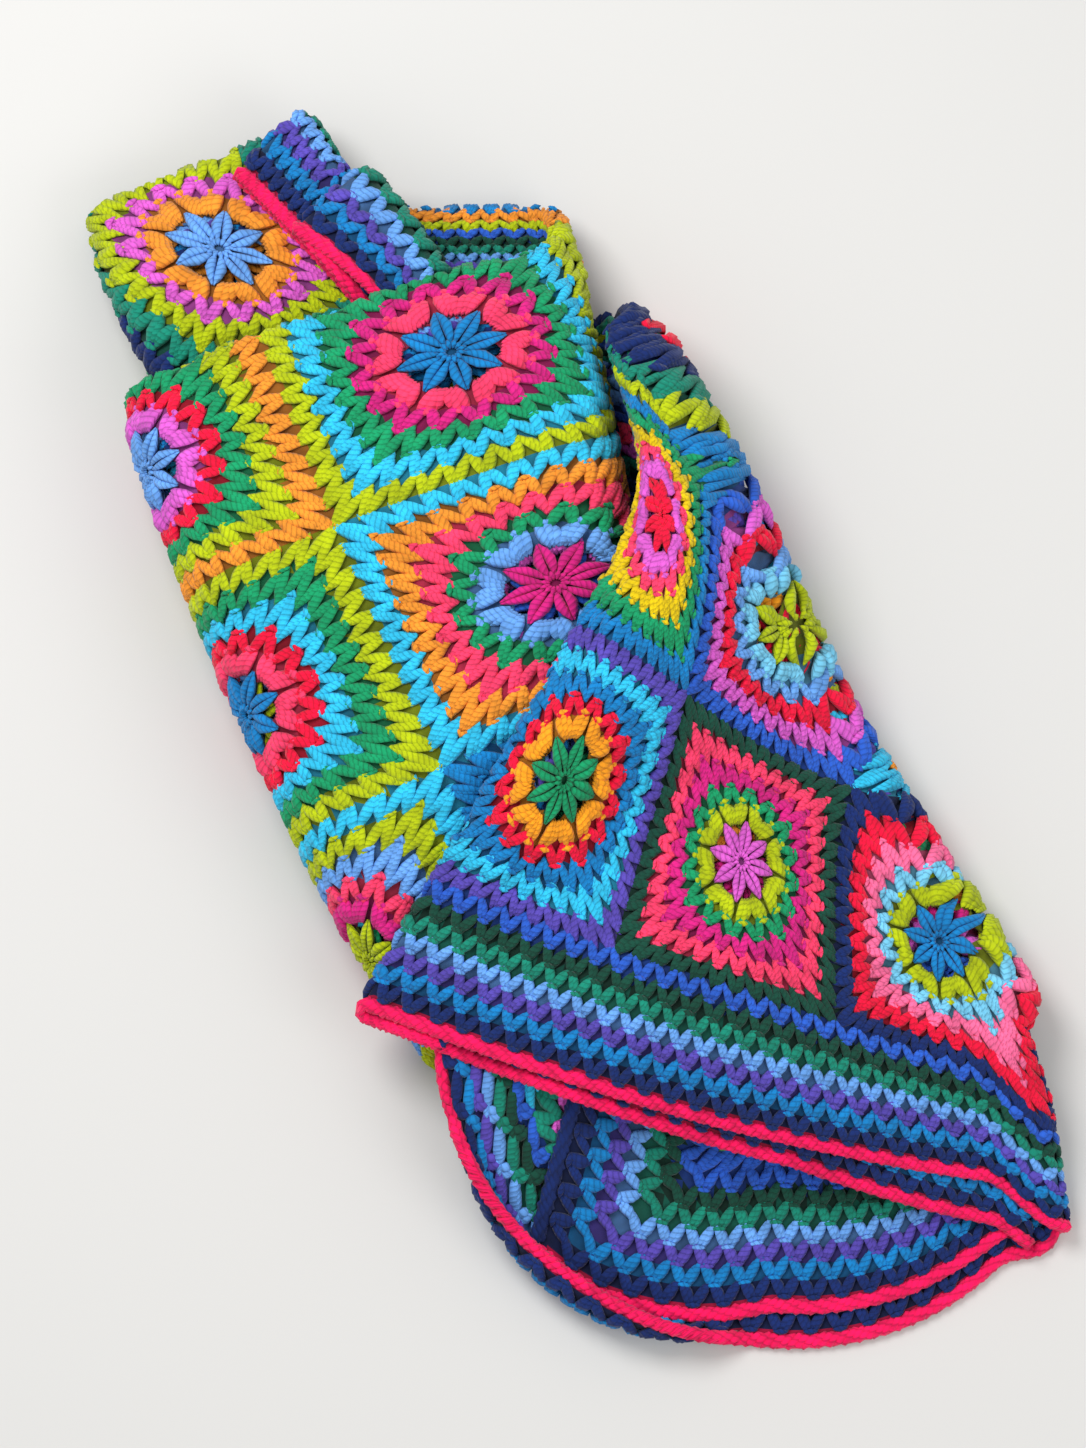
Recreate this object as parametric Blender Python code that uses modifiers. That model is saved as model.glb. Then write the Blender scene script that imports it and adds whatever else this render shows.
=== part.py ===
"""Crocheted granny square blanket, folded into a loose bundle that lies on a floor.

The blanket is one sheet, 2.0 m wide and 2.0 m long. It is folded twice over
lengthwise, which makes a strip of four layers, and the strip lies in six passes:
tail, shoulder, pocket, panel, bed and lap, from the far hem to the near hem.
A point of the sheet is named by u, its way across the blanket from one side
edge, and q, its way along the blanket from the far hem. All tables are in
millimetres, and the object is built in metres. +Y is the far side, +Z is up.
"""

import bpy
import numpy as np
from mathutils.geometry import delaunay_2d_cdt

MM = 0.001
WIDTH, LENGTH = 2000.0, 2000.0      # the blanket laid out flat
SQUARE = 200.0                      # one granny square, 9 across and 9 along
THICK = 3.6                         # crocheted cloth, one layer
GAP = 7.0                           # from one layer's middle to the next
STACK = 4 * GAP + 2                 # what one pass of the strip takes up
HALF = 265.0                        # half the folded strip's width
CENTRE = (-11.64, 11.01)            # plan centre of the bundle in the tables' frame

# The lengthwise fold, seen end on: s runs across the strip and level counts layers.
SECTION = [
    # name, from s, to s, level at the start, level at the end, cloth to each mm
    ("tuck", -205, -HALF, 0.5, 0.5, 2.1667),
    ("front", -HALF, HALF, 1.5, 1.5, 1.0),
    ("back", HALF, -210, -1.5, -1.5, 1.0),
    ("inner_front", -210, 240, -0.5, 0.5, 1.0),
    ("inner_back", 240, -110, -0.5, -0.5, 1.0),
]
RISE = (-187.0, -124.0)             # s where the inner front climbs over the inner back
SHOULDER = (-HALF, -222.0)          # s where the strip's loose side rounds down

# Lines across the strip: q and plan place at its near side, middle and far side.
LINES = {
    # name: (q near, q mid, q far), (x, y) near, (x, y) mid, (x, y) far
    "far_hem": ((0, 0, 0), (-255, 402), (-99, 206), (-81, 66)),
    "tail_fold": ((70, 85, 90), (-216, 445), (-63, 228), (-24, 88)),
    "left_fold": ((262, 340, 380), (-352, 388), (-241, 152), (-163, -19)),
    "right_fold_low": ((693, 735, 780), (-38, 388), (-5, 124), (52, -115)),
    "right_fold_high": ((693, 735, 780), (-47, 338), (1, 102), (60, -130)),
    "side_fold_high": ((1022, 1020, 1015), (-308, 249), (-214, 20), (-104, -208)),
    "side_fold_low": ((1022, 1020, 1015), (-300, 249), (-210, 13), (-96, -225)),
    "slant_fold_low": ((1430, 1590, 1820), (2, 304), (124, 86), (290, -177)),
    "slant_fold_high": ((1430, 1590, 1820), (14, 284), (138, 62), (302, -199)),
    "lap_crest": ((1580, 1675, 1855), (38, 166), (122, -6), (309, -228)),
    "lap_middle": ((1690, 1785, 1895), (-6, 62), (110, -96), (318, -260)),
    "near_hem": ((2000, 2000, 2000), (-160, -199), (88, -282), (328, -322)),
}
# The strip's passes from the far hem to the near hem, and what lies under each.
PASSES = [
    # name, lines it runs over, back of the strip up, passes under it
    ("tail", ("far_hem", "tail_fold"), True, ("bed", "pocket", "shoulder")),
    ("shoulder", ("tail_fold", "left_fold"), False, ("bed", "pocket")),
    ("pocket", ("left_fold", "right_fold_low"), True, ("bed",)),
    ("panel", ("right_fold_high", "side_fold_high"), False,
     ("bed", "pocket", "shoulder", "tail")),
    ("bed", ("side_fold_low", "slant_fold_low"), True, ()),
    ("lap", ("slant_fold_high", "lap_crest", "lap_middle", "near_hem"), False,
     ("bed", "pocket", "shoulder", "tail", "panel")),
]
# The turns between the passes.
TURNS = [
    # name, half the length of q in it
    ("tail_fold", 22.0),
    ("left_fold", 22.0),
    ("right_fold", 45.0),
    ("side_fold", 60.0),
    ("slant_fold", 22.0),
]
CORE_FLAT, SIDE_FLAT = 0.4, 0.9     # how far a turn stands out: its core, its layers
EDGE, FADE = 25.0, 150.0            # a pass lifts what lies on it this far, then less
SLOPE_STEP, STEEPEST = 2.0, 1.2

# Soft ridges under the top passes: plan ends, height and width.
RIDGES = [
    # name, pass it lifts, x0, y0, x1, y1, height, width
    ("panel_crown", "panel", -220, 120, -20, 190, 9, 60),
    ("panel_belly", "panel", -110, -20, 10, 10, 7, 55),
    ("lap_crest", "lap", 60, 150, -30, -60, 13, 38),
    ("lap_fall", "lap", 215, -20, 190, -140, 8, 34),
    ("lap_edge", "lap", 290, -190, 300, -250, 6, 40),
]

# The near hem's mouth: the lower layers run on past the upper ones.
MOUTH_RUN, MOUTH_START = 160.0, 1100.0
OUTER_BOW, INNER_BOW, ROUND = (30.0, 240.0), (15.0, 214.0), 0.75    # middle s, half width
OUTER_SHARE = ((-1.5, -0.5), (1.0, 0.0))                # slide, by a layer's level
INNER_SHARE = ((-1.5, -0.5, 0.5), (0.0, 1.0, 0.0))
UNDER_SHARE = ((-1.5, -0.5, 0.5, 1.5), (0.0, 1.0, 1.0, 0.0))
UNDER_RUN = ((-200, 60, 230, 246, 256), (0.05, 0.1, 0.26, 0.26, 0.0))    # s, and share
RETURNED = ((-121, -111, -60, 0, 20, 50, 80, 150, 200),      # s of the inner back, and share
            (0.0, 0.96, 0.94, 0.85, 0.81, 0.74, 0.73, 0.68, 0.6))
CORNER, CORNER_SHARE = (215.0, 275.0), 0.3              # the rounded end of the mouth, in s
LIP_RADIUS, LIP_TURN, LIP_BOW = 16.5, 3.6, (-75.0, 115.0)       # the rolled hem
MOUTH_LIFT, MOUTH_LIFT_START = 26.0, 1750.0
LOWER_SHARE = ((-0.5, 0.5), (1.0, 0.0))
TAIL_RUN, TAIL_LIFT, TAIL_END = 24.0, 12.0, 70.0
TAIL_MOST = ((-1.5, -0.5, 0.5), (1.0, 0.65, 0.07))      # by a layer's level

# Gaps round each flower: eight, between its points, cut through where they show.
HOLES, HOLE_IN, HOLE_WIDEST, HOLE_OUT, HOLE_HALF = 8, 14.0, 20.0, 25.0, 4.4
OPEN_SQUARES = [
    # column, rows whose flower is cut through
    (0, (0, 3, 4, 7, 8)),
    (1, (3, 4, 7, 8)),
    (2, (8,)),
    (5, (2,)),
]

# How many cells the mesh has in each fold, pass and turn.
SECTION_CELLS = (3, 5, 3, 3)        # in each fold of the section, in its order
PASS_CELLS = {"tail": 2, "shoulder": 3, "pocket": 4, "panel": 5, "bed": 4, "lap": 9}
TURN_CELLS, LIP_CELLS = 4, 3
LIP_START = LENGTH - LIP_RADIUS * LIP_TURN      # q where the hem starts to roll
NEAREST = 8.0                       # no line runs closer than this to a fold
ACROSS_START, ACROSS_STEP = 60.0, 61.4      # the lines along the strip, in s

YARN_COLOUR, YARN_ROUGHNESS = (0.02, 0.35, 0.6, 1.0), 0.9


def smooth(t):
    t = np.clip(t, 0.0, 1.0)
    return t * t * (3.0 - 2.0 * t)


def section_path():
    """The folded cross-section as fine points: u, s and height n over its middle.

    The last result is each run's start and end in u.
    """
    points, marks, cloth, count = [], [], [], 0
    for row, (_, start, end, low, high, gather) in enumerate(SECTION):
        s = np.linspace(start, end, 1 + int(abs(end - start) / 2.0))
        level = low + (high - low) * smooth((s - RISE[0]) / (RISE[1] - RISE[0]))
        points.append(np.stack([s, level * GAP], axis=1))
        marks.append((count, count + len(s) - 1))
        cloth += [gather] * len(s)
        count += len(s)
        if row + 1 < len(SECTION):
            radius = (SECTION[row + 1][3] - high) * GAP / 2.0
            turn = np.linspace(0.0, np.pi, 14)[1:-1]
            arc_s = end + np.sign(end - start) * abs(radius) * np.sin(turn)
            arc_n = high * GAP + radius * (1.0 - np.cos(turn))
            points.append(np.stack([arc_s, arc_n], axis=1))
            cloth += [1.0] * len(turn)
            count += len(turn)
    points = np.concatenate(points)
    steps = np.linalg.norm(np.diff(points, axis=0), axis=1) * cloth[1:]
    u = np.concatenate([[0.0], np.cumsum(steps)])
    return u, points[:, 0], points[:, 1], [(u[a], u[b]) for a, b in marks]


SECTION_U, SECTION_S, SECTION_N, SECTION_RUNS = section_path()


def across(values, s):
    """A quadratic through a line's near, middle and far values."""
    g = s / HALF
    near, mid, far = values
    return near * g * (g - 1) / 2 + mid * (1 - g * g) + far * g * (g + 1) / 2


def line_at(name, s):
    q, near, mid, far = LINES[name]
    x = across((near[0], mid[0], far[0]), s)
    y = across((near[1], mid[1], far[1]), s)
    return across(q, s), x, y


def outward(name, s, way):
    """The unit plan normal of a fold line, on the side that way points to."""
    _, x0, y0 = line_at(name, s - 1.0)
    _, x1, y1 = line_at(name, s + 1.0)
    nx, ny = y1 - y0, x0 - x1
    size = np.hypot(nx, ny) * np.sign(nx * way[0] + ny * way[1])
    return nx / size, ny / size


def pass_mask(name, x, y):
    """1 over a pass and near it, fading to 0 further out."""
    lines = next(row[1] for row in PASSES if row[0] == name)
    first, last = LINES[lines[0]], LINES[lines[-1]]
    corners = np.array([first[1], first[3], last[3], last[1]], float)
    middle = corners.mean(axis=0)
    mask = np.ones_like(x)
    for a, b in zip(corners, np.roll(corners, -1, axis=0)):
        nx, ny = b[1] - a[1], a[0] - b[0]
        size = np.hypot(nx, ny)
        if (middle[0] - a[0]) * nx + (middle[1] - a[1]) * ny > 0:
            size = -size
        out = ((x - a[0]) * nx + (y - a[1]) * ny) / size
        mask = mask * (1.0 - smooth((out - EDGE) / FADE))
    return mask


def ridge(row, x, y):
    _, _, x0, y0, x1, y1, height, width = row
    dx, dy = x1 - x0, y1 - y0
    t = np.clip(((x - x0) * dx + (y - y0) * dy) / (dx * dx + dy * dy), 0.0, 1.0)
    away = np.hypot(x - x0 - t * dx, y - y0 - t * dy)
    return height * np.exp(-((away / width) ** 2))


def passes_under(name):
    return next(row[3] for row in PASSES if row[0] == name)


def plain_height(name, x, y):
    """What a pass lies on, before the layers' own slope is allowed for."""
    under = passes_under(name)
    height = sum((STACK * pass_mask(other, x, y) for other in under), np.zeros_like(x))
    for row in RIDGES:
        if row[1] == name or row[1] in under:
            height = height + ridge(row, x, y)
    return height


def slope_stretch(name, x, y):
    """How much taller a pass's stack stands where it lies on a slope."""
    here = plain_height(name, x, y)
    dx = (plain_height(name, x + SLOPE_STEP, y) - here) / SLOPE_STEP
    dy = (plain_height(name, x, y + SLOPE_STEP) - here) / SLOPE_STEP
    return np.sqrt(1.0 + np.minimum(dx * dx + dy * dy, STEEPEST**2))


def base_height(name, x, y):
    """The height that a pass lies at, over the passes under it."""
    under = passes_under(name)
    height = np.full_like(x, THICK / 2)
    for other in under:
        height = height + STACK * pass_mask(other, x, y) * slope_stretch(other, x, y)
    for row in RIDGES:
        if row[1] == name or row[1] in under:
            height = height + ridge(row, x, y)
    return height


def lying_height(index, x, y, s, n):
    """The height of layer n in a pass, whichever way up the strip lies there."""
    name, _, back_up, _ = PASSES[index]
    base, stretch = base_height(name, x, y), slope_stretch(name, x, y)
    if back_up:
        return base + (1.5 * GAP - n) * stretch
    loose = 1.0 - smooth((s - SHOULDER[0]) / (SHOULDER[1] - SHOULDER[0]))
    return base + (n + 1.5 * GAP - 2.0 * GAP * loose) * stretch


def along(index, s, t):
    """Plan place in a pass, t from 0 at its first line to 1 at its last one."""
    places = np.array([line_at(name, s) for name in PASSES[index][1]])
    q, x, y = places[:, 0], places[:, 1], places[:, 2]
    if len(q) == 2:
        return x[0] + (x[1] - x[0]) * t, y[0] + (y[1] - y[0]) * t
    knots = (q - q[0]) / (q[-1] - q[0])
    return through(knots, x, t), through(knots, y, t)


def through(knots, values, t):
    """A smooth curve through values at knots, straight on beyond the last one."""
    steps = np.diff(values, axis=0) / np.diff(knots, axis=0)
    wide = (values[2:] - values[:-2]) / (knots[2:] - knots[:-2])
    slope = np.concatenate([steps[:1], wide, steps[-1:]])
    out = None
    for k, start in enumerate(knots[:-1]):
        span = knots[k + 1] - start
        w = (t - start) / span
        curve = (
            values[k] * (1 + 2 * w) * (1 - w) ** 2
            + slope[k] * span * w * (1 - w) ** 2
            + values[k + 1] * w * w * (3 - 2 * w)
            + slope[k + 1] * span * w * w * (w - 1)
        )
        out = curve if out is None else np.where(t >= start, curve, out)
    return np.where(t >= 1.0, values[-1] + slope[-1] * (t - 1.0), out)


def bow(s, span):
    middle, half = span
    return np.clip(1.0 - ((s - middle) / half) ** 2, 0.0, 1.0) ** ROUND


def slid_share(s, n):
    """How far a layer slides beside the upper one, from 0 to 1."""
    level = n / GAP
    outer = np.interp(level, *OUTER_SHARE) * bow(s, OUTER_BOW)
    inner = np.interp(level, *INNER_SHARE) * np.interp(s, *RETURNED) * bow(s, INNER_BOW)
    return outer + inner + np.interp(level, *UNDER_SHARE) * np.interp(s, *UNDER_RUN)


def rolled(q, s, n):
    """How far the lowest layer comes back, and rises, where its hem rolls up."""
    turn = LIP_TURN * bow(s, LIP_BOW) * np.interp(n / GAP, *OUTER_SHARE)
    run = np.maximum(q - LENGTH + LIP_RADIUS * turn, 0.0)
    angle = np.minimum(run / LIP_RADIUS, turn)
    beyond = run - LIP_RADIUS * angle
    back = run - LIP_RADIUS * np.sin(angle) - beyond * np.cos(angle)
    return back, LIP_RADIUS * (1.0 - np.cos(angle)) + beyond * np.sin(angle)


def slipped(q, s, n):
    """Where a layer's q lies along the strip, as the layers slide in the folds."""
    near = np.clip((q - MOUTH_START) / (LENGTH - MOUTH_START), 0.0, 2.0)
    corner = CORNER_SHARE * smooth((s - CORNER[0]) / (CORNER[1] - CORNER[0]))
    share = slid_share(s, n)
    mouth = MOUTH_RUN * (share + corner) + rolled(LENGTH, s, n)[0]
    tail = TAIL_RUN * np.minimum(share, np.interp(n / GAP, *TAIL_MOST))
    return q + mouth * near + tail * np.clip(1.0 - q / TAIL_END, 0.0, 1.0)


def unslipped(t, s, n):
    q = t.copy()
    for _ in range(40):
        q = q - (slipped(q, s, n) - t) * 0.8
    return q


def mouth_lift(q, s, n):
    """How far the layers over a hem's mouth stand clear of the ones under it."""
    lower = np.interp(n / GAP, *LOWER_SHARE)
    near = smooth((q - MOUTH_LIFT_START) / (LENGTH - MOUTH_LIFT_START))
    far = smooth(1.0 - q / TAIL_END)
    open_here = bow(s, INNER_BOW) ** 1.5
    return open_here * (MOUTH_LIFT * near * (1.0 - lower) + TAIL_LIFT * far * lower)


def pass_span(index, s):
    """Where a pass's flat stretch starts and ends along the strip."""
    lines = PASSES[index][1]
    start, end = line_at(lines[0], s)[0], line_at(lines[-1], s)[0]
    if index > 0:
        start = start + TURNS[index - 1][1]
    if index < len(TURNS):
        end = end - TURNS[index][1]
    return start, end


def turned(index, s, n, t):
    """A point in the turn after a pass, t from 0 to 1 round it."""
    _, x0, y0 = line_at(PASSES[index][1][-1], s)
    _, x1, y1 = line_at(PASSES[index + 1][1][0], s)
    inside_x, inside_y = along(index, s, np.full_like(s, 0.9))
    nx, ny = outward(PASSES[index][1][-1], s, (x0 - inside_x, y0 - inside_y))
    z0 = lying_height(index, x0, y0, s, n)
    z1 = lying_height(index + 1, x1, y1, s, n)
    base0 = base_height(PASSES[index][0], x0, y0)
    base1 = base_height(PASSES[index + 1][0], x1, y1)
    core = np.maximum(abs(base1 - base0) - 3 * GAP, 1.0) / 2
    bulge = CORE_FLAT * core + SIDE_FLAT * (abs(z1 - z0) / 2 - core)
    angle = np.pi * np.clip(t, 0.0, 1.0)
    blend = (1.0 - np.cos(angle)) / 2
    x = x0 + (x1 - x0) * blend + nx * bulge * np.sin(angle)
    y = y0 + (y1 - y0) * blend + ny * bulge * np.sin(angle)
    return x, y, z0 + (z1 - z0) * blend


def folded(u, q):
    """The place in the bundle of points u, q of the flat blanket, in millimetres."""
    s = np.interp(u, SECTION_U, SECTION_S)
    n = np.interp(u, SECTION_U, SECTION_N)
    back, rise = rolled(q, s, n)
    t = slipped(q, s, n) - back
    place = np.zeros((3,) + s.shape)
    for index in range(len(PASSES)):
        start, end = pass_span(index, s)
        x, y = along(index, s, (t - start) / (end - start))
        z = lying_height(index, x, y, s, n)
        place = np.where((t >= start) | (index == 0), (x, y, z), place)
        if index < len(TURNS):
            turn = turned(index, s, n, (t - end) / (2 * TURNS[index][1]))
            place = np.where(t > end, turn, place)
    x, y, z = place
    z = z + mouth_lift(q, s, n) + rise
    return np.stack([x - CENTRE[0], y - CENTRE[1], z], axis=-1)


def spread(start, end, count):
    """Count values from start to just short of end."""
    return list(np.linspace(start, end, count, endpoint=False))


def across_lines():
    """The u of the mesh's lines along the blanket: the layers share their s."""
    shared = np.arange(-HALF + ACROSS_START, HALF, ACROSS_STEP)
    lines = []
    for row, (start, end) in enumerate(SECTION_RUNS):
        _, s0, s1, _, _, gather = SECTION[row]
        inner = np.sort(start + abs(shared[(shared - s0) * (shared - s1) < 0] - s0) * gather)
        lines += [start] + [u for u in inner if start + NEAREST < u < min(end, WIDTH) - NEAREST]
        if end < WIDTH:
            lines += spread(end, SECTION_RUNS[row + 1][0], SECTION_CELLS[row])
    return np.array(lines + [WIDTH])


def lengthwise_lines(u):
    """The q of the mesh's lines across the blanket, for each u: a row per line."""
    s = np.interp(u, SECTION_U, SECTION_S)
    n = np.interp(u, SECTION_U, SECTION_N)
    lines = []
    for index, row in enumerate(PASSES):
        start, end = pass_span(index, s)
        if index == 0:
            start = slipped(np.zeros_like(s), s, n)
        if index == len(TURNS):
            end = slipped(np.full_like(s, LIP_START), s, n)
        cells = PASS_CELLS[row[0]]
        lines += [start + (end - start) * k / cells for k in range(cells)]
        if index < len(TURNS):
            turn = 2 * TURNS[index][1]
            lines += [end + turn * k / TURN_CELLS for k in range(TURN_CELLS)]
    lines = [unslipped(t, s, n) for t in lines]
    roll = np.linspace(LIP_START, LENGTH, 1 + LIP_CELLS)
    return np.array(lines + [np.full_like(s, q) for q in roll])


def flower_gaps():
    """The outlines of the gaps round the flowers, as corners (u, q) in order."""
    gaps = []
    for column, rows in OPEN_SQUARES:
        for row in rows:
            centre = np.array([SQUARE * (1 + column), SQUARE * (1 + row)])
            for k in range(HOLES):
                angle = 2 * np.pi * (k + 0.5) / HOLES
                ray = np.array([np.cos(angle), np.sin(angle)])
                side = np.array([-ray[1], ray[0]])
                shape = [
                    (HOLE_IN, 0.0),
                    (HOLE_WIDEST, -HOLE_HALF),
                    (HOLE_OUT, 0.0),
                    (HOLE_WIDEST, HOLE_HALF),
                ]
                gaps.append([centre + ray * r + side * w for r, w in shape])
    return gaps


def inside(points, corners):
    """Whether each point lies in a convex outline."""
    found = np.ones(len(points), bool)
    for a, b in zip(corners, corners[1:] + corners[:1]):
        edge, way = b - a, points - a
        found &= edge[0] * way[:, 1] - edge[1] * way[:, 0] > 0
    return found


def flat_net():
    """The blanket laid out flat as triangles: points (u, q), and corners of each."""
    u = across_lines()
    q = lengthwise_lines(u)
    rows, columns = q.shape
    points = [(float(u[i]), float(q[j, i])) for j in range(rows) for i in range(columns)]
    edges = []
    for j in range(rows):
        for i in range(columns):
            at = j * columns + i
            if i + 1 < columns:
                edges.append((at, at + 1))
            if j + 1 < rows:
                edges.append((at, at + columns))
    gaps = flower_gaps()
    for corners in gaps:
        first = len(points)
        points += [(float(x), float(y)) for x, y in corners]
        edges += [(first + k, first + (k + 1) % 4) for k in range(4)]
    found = delaunay_2d_cdt(points, edges, [], 0, 1e-4)
    flat, faces = np.array(found[0]), np.array(found[2])
    middles = flat[faces].mean(axis=1)
    open_here = np.zeros(len(faces), bool)
    for corners in gaps:
        open_here |= inside(middles, corners)
    return flat, faces[~open_here]


def make_blanket(collection):
    flat, faces = flat_net()
    places = folded(flat[:, 0], flat[:, 1]) * MM
    mesh = bpy.data.meshes.new("blanket")
    mesh.from_pydata(places.tolist(), [], faces.tolist())
    mesh.validate()
    blanket = bpy.data.objects.new("blanket", mesh)
    collection.objects.link(blanket)
    shell = blanket.modifiers.new("thickness", "SOLIDIFY")
    shell.thickness = THICK * MM
    shell.offset = 0.0
    shell.use_rim = True
    mesh.materials.append(yarn_material())
    for face in mesh.polygons:
        face.use_smooth = True
    return blanket


def yarn_material():
    material = bpy.data.materials.new("crochet_yarn")
    material.use_nodes = True
    shader = material.node_tree.nodes["Principled BSDF"]
    shader.inputs["Base Color"].default_value = YARN_COLOUR
    shader.inputs["Roughness"].default_value = YARN_ROUGHNESS
    shader.inputs["Metallic"].default_value = 0.0
    return material


def main():
    for old in list(bpy.data.objects):
        bpy.data.objects.remove(old)
    collection = bpy.data.collections.new("granny_square_blanket")
    bpy.context.scene.collection.children.link(collection)
    make_blanket(collection)


main()
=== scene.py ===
"""A crocheted granny square blanket in a loose folded bundle, with its stitches.

The blanket's cloth and stitches are laid out flat by u and q, in millimetres, and
folded() carries them to the bundle's shape, which is the CAD model's own.
"""

import bpy
import numpy as np
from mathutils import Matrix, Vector
from mathutils.bvhtree import BVHTree
from mathutils.geometry import delaunay_2d_cdt


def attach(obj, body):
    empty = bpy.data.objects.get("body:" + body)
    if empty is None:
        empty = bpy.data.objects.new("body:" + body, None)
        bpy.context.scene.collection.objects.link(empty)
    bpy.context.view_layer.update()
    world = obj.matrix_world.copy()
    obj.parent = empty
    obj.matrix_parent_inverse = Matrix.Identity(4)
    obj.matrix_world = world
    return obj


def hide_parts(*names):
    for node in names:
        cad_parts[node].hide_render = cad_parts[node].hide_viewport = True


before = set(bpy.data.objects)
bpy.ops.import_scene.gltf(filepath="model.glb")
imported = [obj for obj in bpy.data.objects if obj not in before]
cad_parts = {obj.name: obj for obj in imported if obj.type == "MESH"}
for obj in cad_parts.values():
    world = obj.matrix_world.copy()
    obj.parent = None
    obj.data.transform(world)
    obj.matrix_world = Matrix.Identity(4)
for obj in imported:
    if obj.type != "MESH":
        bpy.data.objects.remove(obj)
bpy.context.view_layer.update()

MM = 0.001
TINY = 1e-9                         # keeps a length of nothing from being divided by
WIDTH, LENGTH = 2000.0, 2000.0      # the blanket laid out flat
SQUARE = 200.0                      # one granny square, 9 across and 9 along
THICK = 3.6                         # crocheted cloth, one layer
GAP = 7.0                           # from one layer's middle to the next
STACK = 4 * GAP + 2                 # what one pass of the strip takes up
HALF = 265.0                        # half the folded strip's width
CENTRE = (-11.64, 11.01)            # plan centre of the bundle in the tables' frame

# The lengthwise fold, seen end on: s runs across the strip and level counts layers.
SECTION = [
    # name, from s, to s, level at the start, level at the end, cloth to each mm
    ("tuck", -205, -HALF, 0.5, 0.5, 2.1667),
    ("front", -HALF, HALF, 1.5, 1.5, 1.0),
    ("back", HALF, -210, -1.5, -1.5, 1.0),
    ("inner_front", -210, 240, -0.5, 0.5, 1.0),
    ("inner_back", 240, -110, -0.5, -0.5, 1.0),
]
RISE = (-187.0, -124.0)             # s where the inner front climbs over the inner back
SHOULDER = (-HALF, -222.0)          # s where the strip's loose side rounds down

# Lines across the strip: q and plan place at its near side, middle and far side.
LINES = {
    # name: (q near, q mid, q far), (x, y) near, (x, y) mid, (x, y) far
    "far_hem": ((0, 0, 0), (-255, 402), (-99, 206), (-81, 66)),
    "tail_fold": ((70, 85, 90), (-216, 445), (-63, 228), (-24, 88)),
    "left_fold": ((262, 340, 380), (-352, 388), (-241, 152), (-163, -19)),
    "right_fold_low": ((693, 735, 780), (-38, 388), (-5, 124), (52, -115)),
    "right_fold_high": ((693, 735, 780), (-47, 338), (1, 102), (60, -130)),
    "side_fold_high": ((1022, 1020, 1015), (-308, 249), (-214, 20), (-104, -208)),
    "side_fold_low": ((1022, 1020, 1015), (-300, 249), (-210, 13), (-96, -225)),
    "slant_fold_low": ((1430, 1590, 1820), (2, 304), (124, 86), (290, -177)),
    "slant_fold_high": ((1430, 1590, 1820), (14, 284), (138, 62), (302, -199)),
    "lap_crest": ((1580, 1675, 1855), (38, 166), (122, -6), (309, -228)),
    "lap_middle": ((1690, 1785, 1895), (-6, 62), (110, -96), (318, -260)),
    "near_hem": ((2000, 2000, 2000), (-160, -199), (88, -282), (328, -322)),
}
# The strip's passes from the far hem to the near hem, and what lies under each.
PASSES = [
    # name, lines it runs over, back of the strip up, passes under it
    ("tail", ("far_hem", "tail_fold"), True, ("bed", "pocket", "shoulder")),
    ("shoulder", ("tail_fold", "left_fold"), False, ("bed", "pocket")),
    ("pocket", ("left_fold", "right_fold_low"), True, ("bed",)),
    ("panel", ("right_fold_high", "side_fold_high"), False,
     ("bed", "pocket", "shoulder", "tail")),
    ("bed", ("side_fold_low", "slant_fold_low"), True, ()),
    ("lap", ("slant_fold_high", "lap_crest", "lap_middle", "near_hem"), False,
     ("bed", "pocket", "shoulder", "tail", "panel")),
]
# The turns between the passes.
TURNS = [
    # name, half the length of q in it
    ("tail_fold", 22.0),
    ("left_fold", 22.0),
    ("right_fold", 45.0),
    ("side_fold", 60.0),
    ("slant_fold", 22.0),
]
CORE_FLAT, SIDE_FLAT = 0.4, 0.9     # how far a turn stands out: its core, its layers
EDGE, FADE = 25.0, 150.0            # a pass lifts what lies on it this far, then less
SLOPE_STEP, STEEPEST = 2.0, 1.2

# Soft ridges under the top passes: plan ends, height and width.
RIDGES = [
    # name, pass it lifts, x0, y0, x1, y1, height, width
    ("panel_crown", "panel", -220, 120, -20, 190, 9, 60),
    ("panel_belly", "panel", -110, -20, 10, 10, 7, 55),
    ("lap_crest", "lap", 60, 150, -30, -60, 13, 38),
    ("lap_fall", "lap", 215, -20, 190, -140, 8, 34),
    ("lap_edge", "lap", 290, -190, 300, -250, 6, 40),
]

# The near hem's mouth: the lower layers run on past the upper ones.
MOUTH_RUN, MOUTH_START = 160.0, 1100.0
OUTER_BOW, INNER_BOW, ROUND = (30.0, 240.0), (15.0, 214.0), 0.75    # middle s, half width
OUTER_SHARE = ((-1.5, -0.5), (1.0, 0.0))                # slide, by a layer's level
INNER_SHARE = ((-1.5, -0.5, 0.5), (0.0, 1.0, 0.0))
UNDER_SHARE = ((-1.5, -0.5, 0.5, 1.5), (0.0, 1.0, 1.0, 0.0))
UNDER_RUN = ((-200, 60, 230, 246, 256), (0.05, 0.1, 0.26, 0.26, 0.0))    # s, and share
RETURNED = ((-121, -111, -60, 0, 20, 50, 80, 150, 200),      # s of the inner back, and share
            (0.0, 0.96, 0.94, 0.85, 0.81, 0.74, 0.73, 0.68, 0.6))
CORNER, CORNER_SHARE = (215.0, 275.0), 0.3              # the rounded end of the mouth, in s
LIP_RADIUS, LIP_TURN, LIP_BOW = 16.5, 3.6, (-75.0, 115.0)       # the rolled hem
MOUTH_LIFT, MOUTH_LIFT_START = 26.0, 1750.0
LOWER_SHARE = ((-0.5, 0.5), (1.0, 0.0))
TAIL_RUN, TAIL_LIFT, TAIL_END = 24.0, 12.0, 70.0
TAIL_MOST = ((-1.5, -0.5, 0.5), (1.0, 0.65, 0.07))      # by a layer's level


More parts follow.
